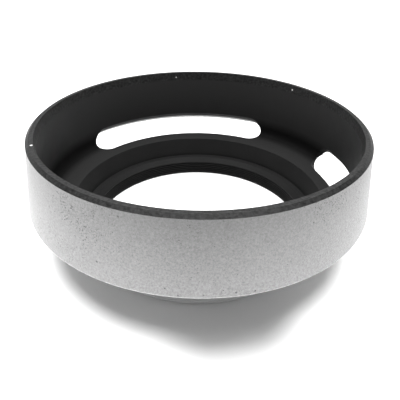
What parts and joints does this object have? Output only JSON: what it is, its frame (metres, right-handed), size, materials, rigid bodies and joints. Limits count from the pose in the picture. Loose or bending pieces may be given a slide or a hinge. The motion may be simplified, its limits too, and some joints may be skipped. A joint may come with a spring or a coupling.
{
  "type": "vented lens hood",
  "caption": "Short round metal lens hood with a silver outer sleeve, black vented baffle inside and a threaded rear neck.",
  "frame": {"origin": "centre of the rear face, on which the hood stands", "axes": "+Z along the optical axis towards the front rim; the first vent is centred 102 degrees anticlockwise from +X"},
  "size_m": [0.056, 0.056, 0.0205],
  "materials": {
    "silver_sleeve": "fine-grained matte silver",
    "black_rim": "satin black anodised",
    "black_baffle": "matte black anodised",
    "silver_mount": "satin turned",
    "black_throat": "matte black anodised"
  },
  "bodies": {
    "root": {"outer_sleeve": "silver_sleeve", "front_rim": "black_rim", "vented_baffle": "black_baffle", "mount_ring": "silver_mount", "throat_ring": "black_throat"}
  },
  "joints": []
}
